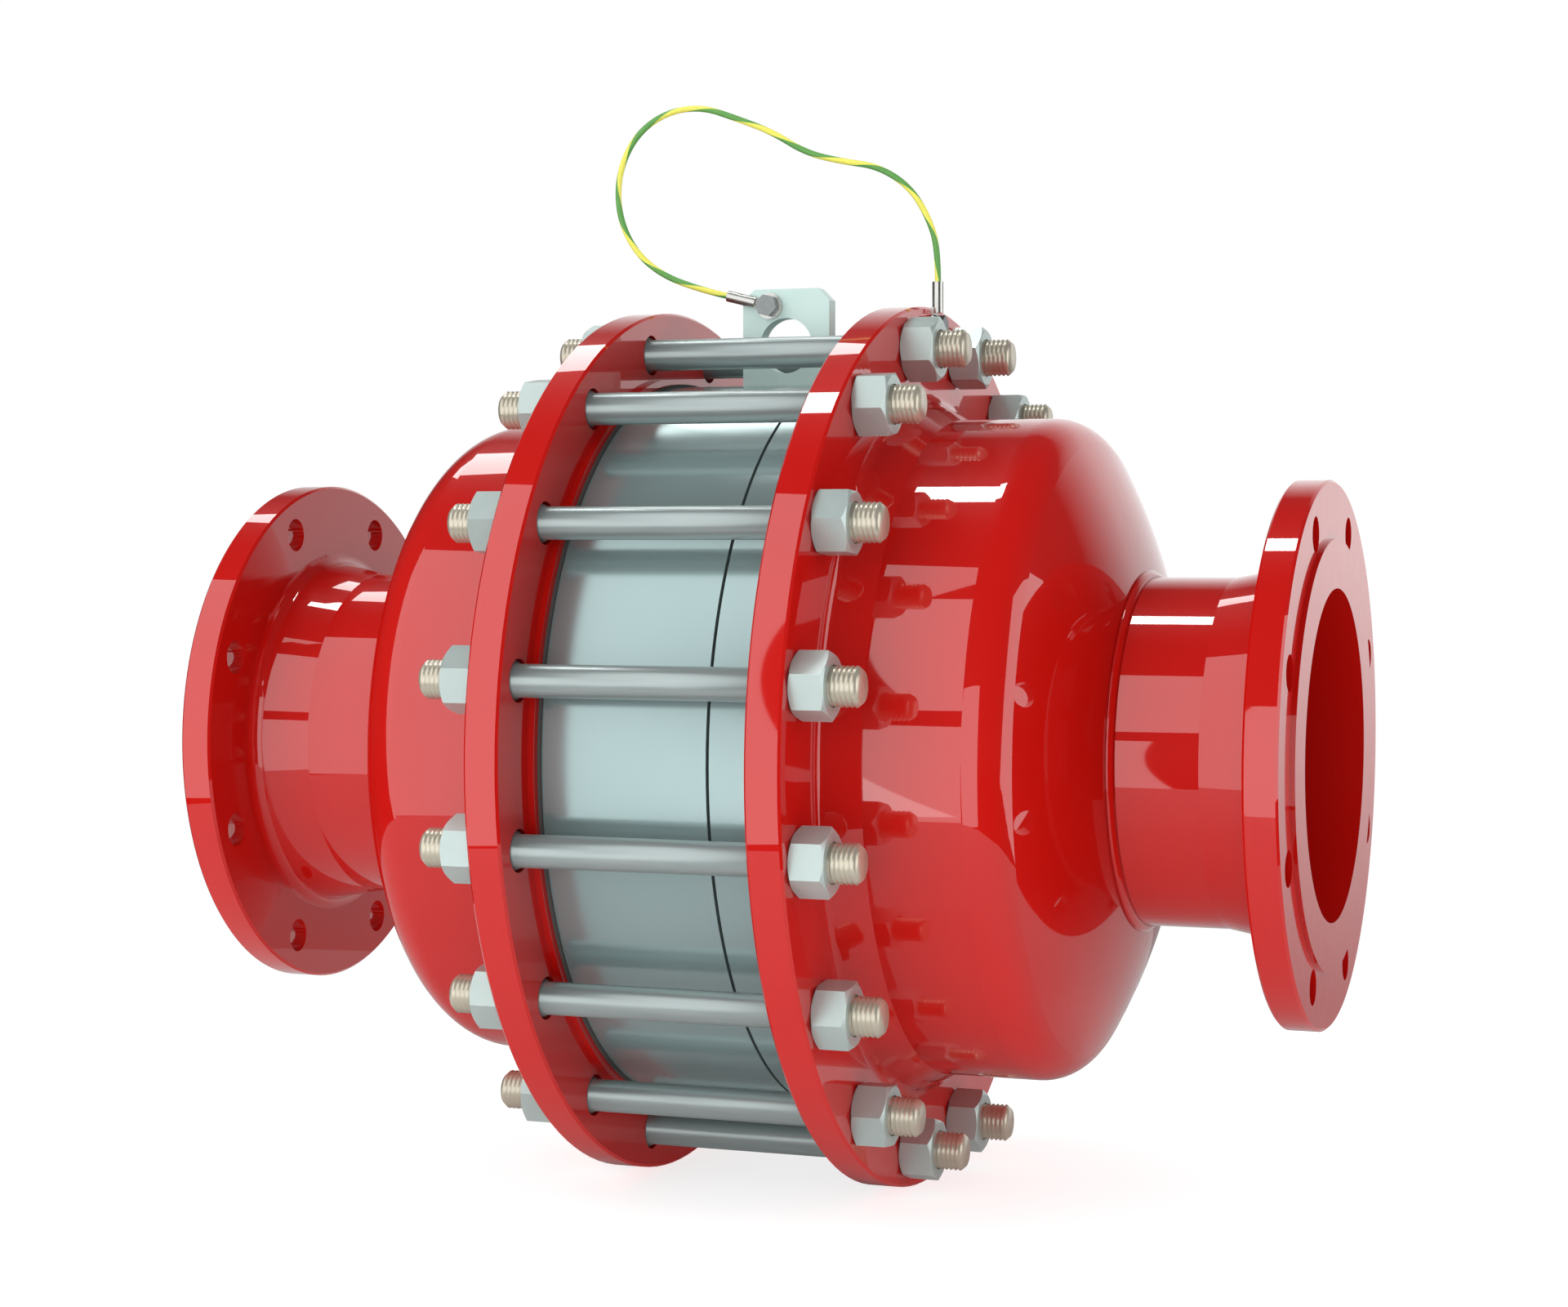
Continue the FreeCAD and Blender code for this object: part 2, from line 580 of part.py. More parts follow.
lug = new_body("lifting_lug")
plate = outline(lug, "plate", "XZ_Plane", [
    (minus("lug_half"), "cage_radius"), ("lug_half", "cage_radius"),
    ("lug_half", "lug_top - lug_corner"), ("lug_half - lug_corner", "lug_top"),
    ("lug_corner - lug_half", "lug_top"), (minus("lug_half"), "lug_top - lug_corner")])
pad(lug, plate, "lug_thick", midplane=True)
eye = circle(lug, "eye", "XZ_Plane", "0", "lug_hole_high", "lug_hole")
eye_cut = lug.newObject("PartDesign::Pocket", "lifting_lug_eye_cut")
eye_cut.Profile = eye
eye_cut.SideType = "Symmetric"
eye_cut.Type = "ThroughAll"
screw_spot = circle(lug, "screw_spot", "XZ_Plane", "lug_tag_x", "lug_tag_high", "tag_bore")
spot_cut = lug.newObject("PartDesign::Pocket", "lifting_lug_screw_cut")
spot_cut.Profile = screw_spot
spot_cut.SideType = "Symmetric"
spot_cut.Type = "ThroughAll"
doc.recompute()
place(lug, x="half_length")

# Earthing cable: a ring terminal on the lug, a ring terminal on the outlet body flange,
# each held by an M8 screw, and the cable that stands up in a loop between them.

def cylinder(name, radius, height, z="0"):
    """A cylinder on Z, its foot at a formula."""
    item = doc.addObject("Part::Cylinder", name)
    for key, formula in (("Radius", radius), ("Height", height)):
        setattr(item, key, number(formula))
        item.setExpression(key, bound(formula))
    place(item, z=z)
    return item


def hexagon(name, across, height, z="0"):
    """A hexagonal bar on Z."""
    item = doc.addObject("Part::Prism", name)
    item.Polygon = 6
    for key, formula in (("Circumradius", across), ("Height", height)):
        setattr(item, key, number(formula))
        item.setExpression(key, bound(formula))
    place(item, z=z)
    return item


def joined(kind, name, items):
    """A boolean of several objects."""
    if kind == "Cut":
        item = doc.addObject("Part::Cut", name)
        item.Base, item.Tool = items
    else:
        item = doc.addObject("Part::MultiFuse", name)
        item.Shapes = items
    item.Label = name
    return item


def ring_terminal(label):
    """A flat ring on the XY plane with a crimp barrel lying along +X."""
    ring = cylinder(f"{label}_ring", "tag_radius", "tag_thick")
    tongue = doc.addObject("Part::Box", f"{label}_tongue")
    for key, formula in (("Length", "barrel_gap + barrel_radius"),
                         ("Width", "barrel_radius + barrel_radius"), ("Height", "tag_thick")):
        setattr(tongue, key, number(formula))
        tongue.setExpression(key, bound(formula))
    place(tongue, y=minus("barrel_radius"))
    barrel = cylinder(f"{label}_barrel", "barrel_radius", "barrel_long")
    lying = FreeCAD.Rotation(FreeCAD.Vector(0, 1, 0), 90)
    barrel.Placement = FreeCAD.Placement(FreeCAD.Vector(0, 0, 0), lying)
    for letter, formula in (("x", "barrel_gap"), ("z", "barrel_radius")):
        barrel.setExpression(f"Placement.Base.{letter}", bound(formula))
    hole = cylinder(f"{label}_hole", "tag_bore", "tag_thick")
    solid = joined("Fuse", f"{label}_blank", [ring, tongue, barrel])
    return joined("Cut", label, [solid, hole])


def hexagon_screw(label, long):
    """A hexagon-head screw, head above z = 0, shank below."""
    shank = cylinder(f"{label}_shank", "bolt_shank", long, z=f"0 - {long}")
    return joined("Fuse", label, [hexagon(f"{label}_head", "bolt_head", "bolt_head_high"), shank])


def bored(label, blank, hole):
    """A nut or a washer: a blank with its hole."""
    return joined("Cut", label, [blank, hole])


def stand(item, x, y, z, along, up):
    """Place a node with its +X along one direction and its +Z along another."""
    side_way = up.cross(along)
    turn = FreeCAD.Rotation(along, side_way, up, "ZXY")
    item.Placement = FreeCAD.Placement(FreeCAD.Vector(number(x), number(y), number(z)), turn)
    for letter, formula in (("x", x), ("y", y), ("z", z)):
        item.setExpression(f"Placement.Base.{letter}", bound(formula))
    NODES.append(item)


tilt = math.radians(SIZES["lug_tag_tilt"])
LUG_LIE = FreeCAD.Vector(-math.cos(tilt), 0, math.sin(tilt))
FORWARD, UP, OUT = FreeCAD.Vector(0, -1, 0), FreeCAD.Vector(0, 0, 1), FreeCAD.Vector(1, 0, 0)
lug_x, lug_z = "half_length + lug_tag_x", "lug_tag_high"
lug_front = "0 - lug_half_thick"
flange_x, flange_z = "half_length + body_rim_back", "flange_tag_high"

stand(ring_terminal("lug_terminal"), lug_x, lug_front, lug_z, LUG_LIE, FORWARD)
stand(bored("lug_washer", cylinder("lug_washer_blank", "washer_radius", "washer_thick"),
            cylinder("lug_washer_hole", "tag_bore", "washer_thick")),
      lug_x, f"{lug_front} - tag_thick", lug_z, LUG_LIE, FORWARD)
stand(hexagon_screw("lug_screw", "lug_bolt_long"),
      lug_x, f"{lug_front} - tag_thick - washer_thick", lug_z, LUG_LIE, FORWARD)
stand(bored("lug_nut", hexagon("lug_nut_blank", "bolt_head", "bolt_nut_high"),
            cylinder("lug_nut_hole", "bolt_shank", "bolt_nut_high")),
      lug_x, "lug_half_thick + bolt_nut_high", lug_z, OUT, FORWARD)

stand(ring_terminal("flange_terminal"), flange_x, "0", flange_z, UP, OUT)
stand(bored("flange_washer", cylinder("flange_washer_blank", "washer_radius", "washer_thick"),
            cylinder("flange_washer_hole", "tag_bore", "washer_thick")),
      f"{flange_x} + tag_thick", "0", flange_z, UP, OUT)
stand(hexagon_screw("flange_screw", "flange_bolt_long"),
      f"{flange_x} + tag_thick + washer_thick", "0", flange_z, UP, OUT)

# The route runs from the lug's barrel to the flange's barrel. x is from the mid-plane.
reach = SIZES["barrel_gap"] + SIZES["barrel_long"]
lug_centre = FreeCAD.Vector(SIZES["lug_tag_x"], -SIZES["lug_half_thick"], SIZES["lug_tag_high"])
cable_start = lug_centre + LUG_LIE * reach + FORWARD * SIZES["barrel_radius"]
cable_end = FreeCAD.Vector(SIZES["body_rim_back"] + SIZES["barrel_radius"], 0,
                           SIZES["flange_tag_high"] + reach)
ROUTE = [
    tuple(cable_start), tuple(cable_start + LUG_LIE * SIZES["cable_lead"]),
    (-88.0, -8.7, 309.0), (-107.5, -8.0, 326.0), (-118.5, -7.4, 350.0),
    (-118.5, -6.9, 377.0), (-107.0, -6.3, 401.0), (-86.0, -5.7, 415.5),
    (-60.0, -5.1, 418.5), (-35.0, -4.6, 409.5), (-10.0, -4.1, 399.5), (13.0, -3.6, 385.0),
    (38.0, -3.1, 378.5), (62.0, -2.4, 374.5), (83.0, -1.6, 361.0), (95.5, -0.9, 341.5),
    tuple(cable_end + UP * SIZES["cable_lead"]), tuple(cable_end)]


def cable_tube(label, route, radius):
    """A tube along straight runs joined by tangent arcs."""
    shift = FreeCAD.Vector(SIZES["half_length"], 0, 0)
    spots = [FreeCAD.Vector(*spot) + shift for spot in route]
    edges, radii, leave = [], [], spots[0]
    for before, corner, after in zip(spots, spots[1:], spots[2:]):
        back, ahead = before - corner, after - corner
        reach_in = 0.45 * min(back.Length, ahead.Length)
        turn = math.pi - back.getAngle(ahead)
        radii.append(reach_in / math.tan(turn / 2))
        enter = corner + back.normalize() * reach_in
        depart = corner + ahead.normalize() * reach_in
        bisector = (back + ahead).normalize()
        middle = corner + bisector * (radii[-1] / math.cos(turn / 2) - radii[-1])
        edges.append(Part.LineSegment(leave, enter).toShape())
        edges.append(Part.Arc(enter, middle, depart).toShape())
        leave = depart
    edges.append(Part.LineSegment(leave, spots[-1]).toShape())
    path = Part.Wire(edges)
    ring = Part.Wire(Part.makeCircle(radius, spots[0], spots[1] - spots[0]))
    tube = path.makePipeShell([ring], True, False)
    wanted = math.pi * radius ** 2 * path.Length
    if abs(tube.Volume - wanted) > 0.01 * wanted:
        raise RuntimeError(f"{label} is {tube.Volume:.0f} mm3, not {wanted:.0f}")
    print(f"{label} length {path.Length:.1f}, arc radii", [round(size, 1) for size in radii])
    item = doc.addObject("Part::Feature", label)
    item.Label = label
    item.Shape = tube
    NODES.append(item)


cable_tube("earth_cable", ROUTE, SIZES["cable_radius"])

# Write the nodes

doc.recompute()
for item in doc.Objects:
    if "Invalid" in item.State or "Error" in item.State:
        raise RuntimeError(f"{item.Label} failed: {item.State}")
os.makedirs("parts", exist_ok=True)
for node in NODES:
    shape = node.Shape
    if shape.isNull() or not shape.isValid():
        raise RuntimeError(f"{node.Label} has no valid shape")
    shape.exportStep(f"parts/{node.Label}.step")
    box = shape.BoundBox
    print(f"{node.Label:22s} solids {len(shape.Solids):3d} volume {shape.Volume / 1000:10.1f} cm3 "
          f"x {box.XMin:7.1f} {box.XMax:7.1f} z {box.ZMin:7.1f} {box.ZMax:7.1f}")
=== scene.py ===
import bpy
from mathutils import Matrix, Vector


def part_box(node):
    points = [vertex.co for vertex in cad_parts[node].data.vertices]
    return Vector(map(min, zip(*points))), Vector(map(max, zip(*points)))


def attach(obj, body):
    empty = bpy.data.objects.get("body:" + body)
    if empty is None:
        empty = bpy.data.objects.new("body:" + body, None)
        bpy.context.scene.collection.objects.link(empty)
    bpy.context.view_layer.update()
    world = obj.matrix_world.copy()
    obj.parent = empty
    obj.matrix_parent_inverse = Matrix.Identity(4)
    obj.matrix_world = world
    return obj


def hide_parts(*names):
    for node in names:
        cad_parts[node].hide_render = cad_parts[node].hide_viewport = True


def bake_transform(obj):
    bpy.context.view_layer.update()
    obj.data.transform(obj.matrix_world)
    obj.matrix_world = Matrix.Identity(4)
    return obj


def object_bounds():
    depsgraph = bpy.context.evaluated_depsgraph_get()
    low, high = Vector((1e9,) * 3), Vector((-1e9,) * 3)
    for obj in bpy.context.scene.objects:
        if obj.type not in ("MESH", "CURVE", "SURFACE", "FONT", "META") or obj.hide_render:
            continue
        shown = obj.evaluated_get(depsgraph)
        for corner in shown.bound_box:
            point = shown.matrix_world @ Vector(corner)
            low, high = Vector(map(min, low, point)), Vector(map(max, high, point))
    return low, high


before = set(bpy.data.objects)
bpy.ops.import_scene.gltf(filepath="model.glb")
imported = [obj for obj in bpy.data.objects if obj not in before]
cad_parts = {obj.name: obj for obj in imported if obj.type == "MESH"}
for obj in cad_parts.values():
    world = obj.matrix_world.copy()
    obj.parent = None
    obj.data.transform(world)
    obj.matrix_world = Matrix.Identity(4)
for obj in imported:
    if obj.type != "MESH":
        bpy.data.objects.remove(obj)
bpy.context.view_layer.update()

import math

import bmesh
import bpy
from mathutils import Matrix, Quaternion, Vector

# Camera. It stands off the outlet end, a little above the pipe axis, and looks back at the
# cage. The lens is a short tele, so the nearer flange draws larger than the far one.
LENS_MM, SENSOR_MM = 68.99, 36.0
CAMERA_SPOT = Vector((1.0446, -1.8550, 0.1328))
CAMERA_YAW, CAMERA_DOWN = math.radians(20.354), math.radians(2.157)
camera_data = bpy.data.cameras.new("camera")
camera_data.lens, camera_data.sensor_width = LENS_MM, SENSOR_MM
camera = bpy.data.objects.new("camera", camera_data)
camera.location = CAMERA_SPOT
camera.rotation_euler = (math.pi / 2 - CAMERA_DOWN, 0, CAMERA_YAW)
bpy.context.scene.collection.objects.link(camera)
bpy.context.scene.camera = camera


class Wire:
    """A shader socket. Arithmetic on it adds Math nodes, and node() adds any other node."""

    def __init__(self, tree, socket=None):
        self.tree, self.socket = tree, socket

    def node(self, kind, settings=None, sockets=None, out=0):
        """Add a node, set it up, then fill its sockets with values or links."""
        item = self.tree.nodes.new(kind)
        for key, value in (settings or {}).items():
            if key == "stops":
                ramp = item.color_ramp.elements
                while len(ramp) < len(value):
                    ramp.new(0.5)
                for stop, (place, colour) in zip(ramp, value):
                    stop.position, stop.color = place, colour
            elif key == "interpolation":
                item.color_ramp.interpolation = value
            else:
                setattr(item, key, value)
        for key, value in (sockets or {}).items():
            if isinstance(value, Wire):
                self.tree.links.new(value.socket, item.inputs[key])
            else:
                item.inputs[key].default_value = value
        return Wire(self.tree, item.outputs[out] if item.outputs else None)

    def math(self, operation, first, second):
        return self.node("ShaderNodeMath", {"operation": operation}, {0: first, 1: second})

    def __add__(self, other):
        return self.math("ADD", self, other)

    def __sub__(self, other):
        return self.math("SUBTRACT", self, other)

    def __rsub__(self, other):
        return self.math("SUBTRACT", other, self)

    def __mul__(self, other):
        return self.math("MULTIPLY", self, other)

    def __truediv__(self, other):
        return self.math("DIVIDE", self, other)

    def __pow__(self, other):
        return self.math("POWER", self, other)

    __radd__, __rmul__ = __add__, __mul__


def new_finish(name):
    """An empty material, and a wire to build its shader with."""
    material = bpy.data.materials.new(name)
    material.use_nodes = True
    material.node_tree.nodes.clear()
    return material, Wire(material.node_tree)


def surface(wire, sockets):
    """End a shader: one Principled surface with these sockets."""
    shader = wire.node("ShaderNodeBsdfPrincipled", None, sockets)
    wire.node("ShaderNodeOutputMaterial", None, {"Surface": shader})


def spot(wire):
    """Object coordinates, in metres in the row frame."""
    return wire.node("ShaderNodeTexCoord", out="Object")


def noise(wire, where, scale, detail=3.0, rough=0.5):
    """A cloudy pattern from 0 to 1. Scale is in patches a metre."""
    sockets = {"Vector": where, "Scale": scale, "Detail": detail, "Roughness": rough}
    return wire.node("ShaderNodeTexNoise", None, sockets)


def blend_colour(wire, factor, first, second):
    """Between two colours by a factor."""
    return wire.node("ShaderNodeMix", {"data_type": "RGBA"},
                     {"Factor": factor, 6: first, 7: second}, out=2)


def relief(wire, height, depth, strength=1.0):
    """A bump. Depth is in metres."""
    return wire.node("ShaderNodeBump", None,
                     {"Height": height, "Distance": depth, "Strength": strength})


def dress(material, *names):
    """Give CAD nodes a finish."""
    for name in names:
        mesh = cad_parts[name].data
        mesh.materials.clear()
        mesh.materials.append(material)


# Earthing cable. A copper strand in a green and yellow sheath, stiff enough to stand up in
# a loop. It is crimped into a ring terminal at each end, and the far end is fixed to the
# outlet housing.
CABLE_ROUTE = [
    (0.32086, -0.0096, 0.29302), (0.29951, -0.0096, 0.29834), (0.2720, -0.0087, 0.3090),
    (0.2525, -0.0080, 0.3260), (0.2415, -0.0074, 0.3500), (0.2415, -0.0069, 0.3770),
    (0.2530, -0.0063, 0.4010), (0.2740, -0.0057, 0.4155), (0.3000, -0.0051, 0.4185),
    (0.3250, -0.0046, 0.4095), (0.3500, -0.0041, 0.3995), (0.3730, -0.0036, 0.3850),
    (0.3980, -0.0031, 0.3785), (0.4220, -0.0024, 0.3745), (0.4430, -0.0016, 0.3610),
    (0.4555, -0.0009, 0.3415), (0.4621, 0.0, 0.3210), (0.4621, 0.0, 0.2990)]
CABLE_THICK = 0.004
STRIPE_TURN = 0.060            # one turn of the stripes along the cable
cable_line = bpy.data.curves.new("earth_cable_line", "CURVE")
cable_line.dimensions = "3D"
spline = cable_line.splines.new("NURBS")
spline.points.add(len(CABLE_ROUTE) - 1)
for point, where in zip(spline.points, CABLE_ROUTE):
    point.co = (*where, 1.0)
spline.order_u = 3
spline.use_endpoint_u = True
spline.resolution_u = 8
guide = bpy.data.objects.new("earth_cable_guide", cable_line)
centre_mesh = bpy.data.meshes.new_from_object(guide)
cable_path = [vertex.co.copy() for vertex in centre_mesh.vertices]


def finish_piece(bm, name, smooth=True):
    """Turn a bmesh into an object at the origin."""
    bmesh.ops.recalc_face_normals(bm, faces=bm.faces)
    mesh = bpy.data.meshes.new(name)
    bm.to_mesh(mesh)
    bm.free()
    for face in mesh.polygons:
        face.use_smooth = smooth
    piece = bpy.data.objects.new(name, mesh)
    bpy.context.scene.collection.objects.link(piece)
    return piece


cable_line.bevel_depth, cable_line.bevel_resolution = CABLE_THICK / 2, 4
cable_line.use_fill_caps = True
bpy.context.view_layer.update()
cable_mesh = bpy.data.meshes.new_from_object(guide)
bpy.data.objects.remove(guide)
cable = bpy.data.objects.new("earth_cable_sheath", cable_mesh)
bpy.context.scene.collection.objects.link(cable)
cable_mesh.polygons.foreach_set("use_smooth", [True] * len(cable_mesh.polygons))

# The stripes wind slowly round the sheath: an attribute holds the sine of the angle round
# the cable plus the turn so far.
travel = [0.0]
for before, after in zip(cable_path, cable_path[1:]):
    travel.append(travel[-1] + (after - before).length)
CABLE_LENGTH = travel[-1]
stripe = cable_mesh.attributes.new("stripe", "FLOAT", "POINT")
for vertex in cable_mesh.vertices:
    near = min(range(len(cable_path)), key=lambda k: (cable_path[k] - vertex.co).length)
    ahead = cable_path[min(near + 1, len(cable_path) - 1)] - cable_path[max(near - 1, 0)]
    off = vertex.co - cable_path[near]
    side = off.dot(Vector((0, 1, 0)))
    lift = off.dot(ahead.normalized().cross(Vector((0, 1, 0))))
    turn = math.atan2(lift, side) + travel[near] / STRIPE_TURN * 2 * math.pi
    stripe.data[vertex.index].value = math.sin(turn)

sheath, wire = new_finish("green_yellow_sheath")
where = spot(wire)
band = wire.node("ShaderNodeAttribute", {"attribute_name": "stripe"}, out="Fac")
is_green = wire.node("ShaderNodeValToRGB", {
    "interpolation": "LINEAR", "stops": [(0.42, (0, 0, 0, 1)), (0.47, (1, 1, 1, 1))]},
    {"Fac": band * 0.5 + 0.5})
grime = noise(wire, where, 160.0, 4.0)
yellow = blend_colour(wire, grime, (0.84, 0.80, 0.10, 1), (0.74, 0.72, 0.12, 1))
green = blend_colour(wire, grime, (0.08, 0.30, 0.06, 1), (0.14, 0.38, 0.08, 1))
surface(wire, {
    "Base Color": blend_colour(wire, is_green, yellow, green),
    "Roughness": grime * 0.2 + 0.3,
    "Normal": relief(wire, noise(wire, where, 900.0), 0.00004)})
cable_mesh.materials.append(sheath)
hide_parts("earth_cable")
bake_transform(cable)


# Housings. Each is a weldment of flanges, shell, dished end and pipe, shot-blasted and
# sprayed red, then lacquered. The paint flows a little, so the gloss has a fine orange peel.
RED_DEEP, RED_WARM = (0.44, 0.002, 0.001, 1), (0.52, 0.007, 0.004, 1)
paint, wire = new_finish("red_housing_paint")
where = spot(wire)
drift = noise(wire, where, 5.0, 2.0)
peel = noise(wire, where, 420.0, 2.0)
flow = noise(wire, where, 60.0, 2.0)
surface(wire, {
    "Base Color": blend_colour(wire, drift, RED_DEEP, RED_WARM),
    "Roughness": flow * 0.10 + 0.28,
    "Specular IOR Level": 0.05, "Coat Weight": 1.0, "Coat Roughness": 0.02, "Coat IOR": 1.75,
    "Normal": relief(wire, peel + flow * 2.0, 0.00002)})
HOUSING = ("pipe_flange", "neck_pipe", "guide_tube", "dished_end", "shell", "body_flange")
for side in ("inlet", "outlet"):
    dress(paint, *[f"{side}_{piece}" for piece in HOUSING])


def axis_spin(bm, profile, steps, angle=2 * math.pi):
    """Turn a closed profile of (x, radius) points about the pipe axis."""
    corners = [bm.verts.new((x, 0, radius)) for x, radius in profile]
    face = bm.faces.new(corners)
    edges = face.edges[:]
    bm.faces.remove(face)
    bmesh.ops.spin(bm, geom=corners + edges, cent=(0, 0, 0), axis=(1, 0, 0), dvec=(0, 0, 0),
                   angle=angle, steps=steps, use_merge=True)


# A weld bead where the dished end meets the neck, laid by a machine in small overlapping
# scales, and painted with the rest. The seam of the shell is ground flush.
BEAD_SCALE = 0.004             # length of one scale of a bead
MIDDLE = sum(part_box("cage_seal")[k].x for k in (0, 1)) / 2 - 0.0355


def weld_bead(name, x, radius, out_x, leg, body):
    """A fillet bead at (x, radius). out_x is the side along the axis that it fills."""
    steps = int(2 * math.pi * radius / BEAD_SCALE)
    steps -= steps % 2
    bm = bmesh.new()
    face = leg * 0.72
    profile = [(x - out_x * leg * 0.3, radius - leg * 0.3), (x + out_x * leg, radius),
               (x + out_x * face * 0.82, radius + face * 0.55),
               (x + out_x * face * 0.5, radius + face * 0.88), (x, radius + leg)]
    axis_spin(bm, profile, steps)
    for vertex in bm.verts:
        turn = math.atan2(vertex.co.z, vertex.co.y)
        scale_at = 0.5 + 0.5 * math.cos(turn * steps / 2)
        size = math.hypot(vertex.co.y, vertex.co.z)
        if size > radius + leg * 0.3:
            vertex.co += Vector((0, vertex.co.y, vertex.co.z)) / size * 0.0005 * scale_at
    piece = finish_piece(bm, name)
    piece.data.materials.append(paint)
    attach(piece, body)
    return piece


for side, sign, body in (("inlet", -1, "cage_and_inlet"), ("outlet", 1, "outlet_housing")):
    weld_bead(f"{side}_neck_weld", MIDDLE + sign * 0.2430, 0.1094, sign, 0.0045, body)


# Cage drum and its cover ring: machined steel with a pale grey satin coat, and fine turning
# marks under it. The lifting lug has a duller coat of the same colour.
cage_coat, wire = new_finish("pale_cage_coat")
where = spot(wire)
parts = wire.node("ShaderNodeSeparateXYZ", None, {"Vector": where})
marks = wire.node("ShaderNodeTexNoise", {"noise_dimensions": "1D"},
                  {"W": parts * 1.0, "Scale": 2600.0, "Detail": 2.0})
cloud = noise(wire, where, 9.0, 3.0)
surface(wire, {
    "Base Color": blend_colour(wire, cloud, (0.31, 0.42, 0.42, 1), (0.36, 0.47, 0.47, 1)),
    "Metallic": 0.6,
    "Roughness": cloud * 0.06 + 0.13,
    "Normal": relief(wire, marks, 0.000010)})
dress(cage_coat, "cage_body", "cage_cover_ring")
lug_coat, wire = new_finish("pale_lug_coat")
cloud = noise(wire, spot(wire), 60.0, 3.0)
surface(wire, {
    "Base Color": blend_colour(wire, cloud, (0.54, 0.72, 0.68, 1), (0.62, 0.80, 0.76, 1)),
    "Roughness": cloud * 0.12 + 0.36, "Normal": relief(wire, cloud, 0.00003)})
dress(lug_coat, "lifting_lug")

# Seal in the seam of the drum, dark and set back. Gaskets of dark pressed fibre on its faces.
fibre, wire = new_finish("pressed_fibre")
where = spot(wire)
fleck = noise(wire, where, 700.0, 4.0, 0.7)
surface(wire, {
    "Base Color": blend_colour(wire, fleck, (0.045, 0.040, 0.040, 1), (0.10, 0.09, 0.085, 1)),
    "Roughness": 0.85, "Normal": relief(wire, fleck, 0.0001)})
dress(fibre, "inlet_gasket", "outlet_gasket")
dark_seal, wire = new_finish("dark_seal")
fleck = noise(wire, spot(wire), 500.0, 3.0)
surface(wire, {
    "Base Color": blend_colour(wire, fleck, (0.010, 0.016, 0.016, 1), (0.03, 0.04, 0.04, 1)),
    "Roughness": 0.8, "Normal": relief(wire, fleck, 0.0001)})
dress(dark_seal, "cage_seal")

# Filter stack: plain steel grids and spacers, and discs of crimped stainless ribbon.
bar_steel, wire = new_finish("grid_bar_steel")
fleck = noise(wire, spot(wire), 90.0, 4.0)
surface(wire, {
    "Base Color": blend_colour(wire, fleck, (0.30, 0.31, 0.32, 1), (0.42, 0.43, 0.43, 1)),
    "Metallic": 1.0, "Roughness": fleck * 0.2 + 0.35})
dress(bar_steel, "inlet_support_grid", "outlet_support_grid", "spacer_1", "spacer_2",
      "spacer_3")
ribbon_steel, wire = new_finish("crimped_ribbon_steel")
parts = wire.node("ShaderNodeTexCoord", out="Object")
flat = wire.node("ShaderNodeMapping", None, {"Vector": parts, "Scale": (0.0, 1.0, 1.0)})
radius = wire.node("ShaderNodeVectorMath", {"operation": "LENGTH"}, {"Vector": flat}, out=1)
# The rings shape the bump, and the colour runs dark at their low parts: painted shade in the
# grooves between the turns of ribbon.
ribbon_rings_and_groove_shade = wire.node("ShaderNodeMath", {"operation": "PINGPONG"}, {0: radius, 1: 0.00125}) / 0.00125
surface(wire, {
    "Base Color": blend_colour(wire, ribbon_rings_and_groove_shade, (0.16, 0.17, 0.18, 1), (0.62, 0.63, 0.64, 1)),
    "Metallic": 1.0, "Roughness": 0.35, "Normal": relief(wire, ribbon_rings_and_groove_shade, 0.0008)})
dress(ribbon_steel, "filter_disc_1", "filter_disc_2", "filter_disc_3", "filter_disc_4",
      "filter_cores")

# Tie studs: waisted zinc-plated rods. The thread that stands out of the nuts is modelled as
# a row of grooves, and is oilier and yellower than the waist.
STUD_CIRCLE, STUD_HALF, STUD_COUNT = 0.2575, 0.1375, 16
THREAD, ROOT, WAIST, TIP = 0.012, 0.01065, 0.010, 0.0095
PITCH, THREAD_START, WAIST_END, SLOPE = 0.003, 0.1195, 0.079, 0.003
half = [(WAIST_END - SLOPE, WAIST), (WAIST_END, THREAD), (THREAD_START, THREAD)]
for k in range(int((STUD_HALF - SLOPE - THREAD_START) / PITCH)):
    start = THREAD_START + k * PITCH
    half += [(start + PITCH * 0.45, ROOT), (start + PITCH * 0.55, ROOT), (start + PITCH, THREAD)]
half += [(STUD_HALF - SLOPE, THREAD), (STUD_HALF, TIP)]
half = [half[0]] + [b for a, b in zip(half, half[1:]) if b != a]
profile = [(-x, radius) for x, radius in reversed(half)] + half
profile = [(-STUD_HALF, 0.0)] + profile + [(STUD_HALF, 0.0)]
bm = bmesh.new()
axis_spin(bm, profile, 32)
bmesh.ops.remove_doubles(bm, verts=bm.verts, dist=0.00001)
loose = [edge for edge in bm.edges if not edge.link_faces]
bmesh.ops.delete(bm, geom=loose, context="EDGES")
one_stud = bm.verts[:] + bm.edges[:] + bm.faces[:]
bmesh.ops.translate(bm, verts=bm.verts, vec=(MIDDLE, 0, STUD_CIRCLE))
for k in range(1, STUD_COUNT):
    copy = bmesh.ops.duplicate(bm, geom=one_stud)["geom"]
    verts = [item for item in copy if isinstance(item, bmesh.types.BMVert)]
    turn = Matrix.Rotation(2 * math.pi * k / STUD_COUNT, 3, "X")
    bmesh.ops.rotate(bm, verts=verts, cent=(0, 0, 0), matrix=turn)
bmesh.ops.rotate(bm, verts=bm.verts, cent=(0, 0, 0),
                 matrix=Matrix.Rotation(math.pi / STUD_COUNT, 3, "X"))
studs = finish_piece(bm, "threaded_studs")
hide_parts("tie_studs")
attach(studs, "cage_and_inlet")

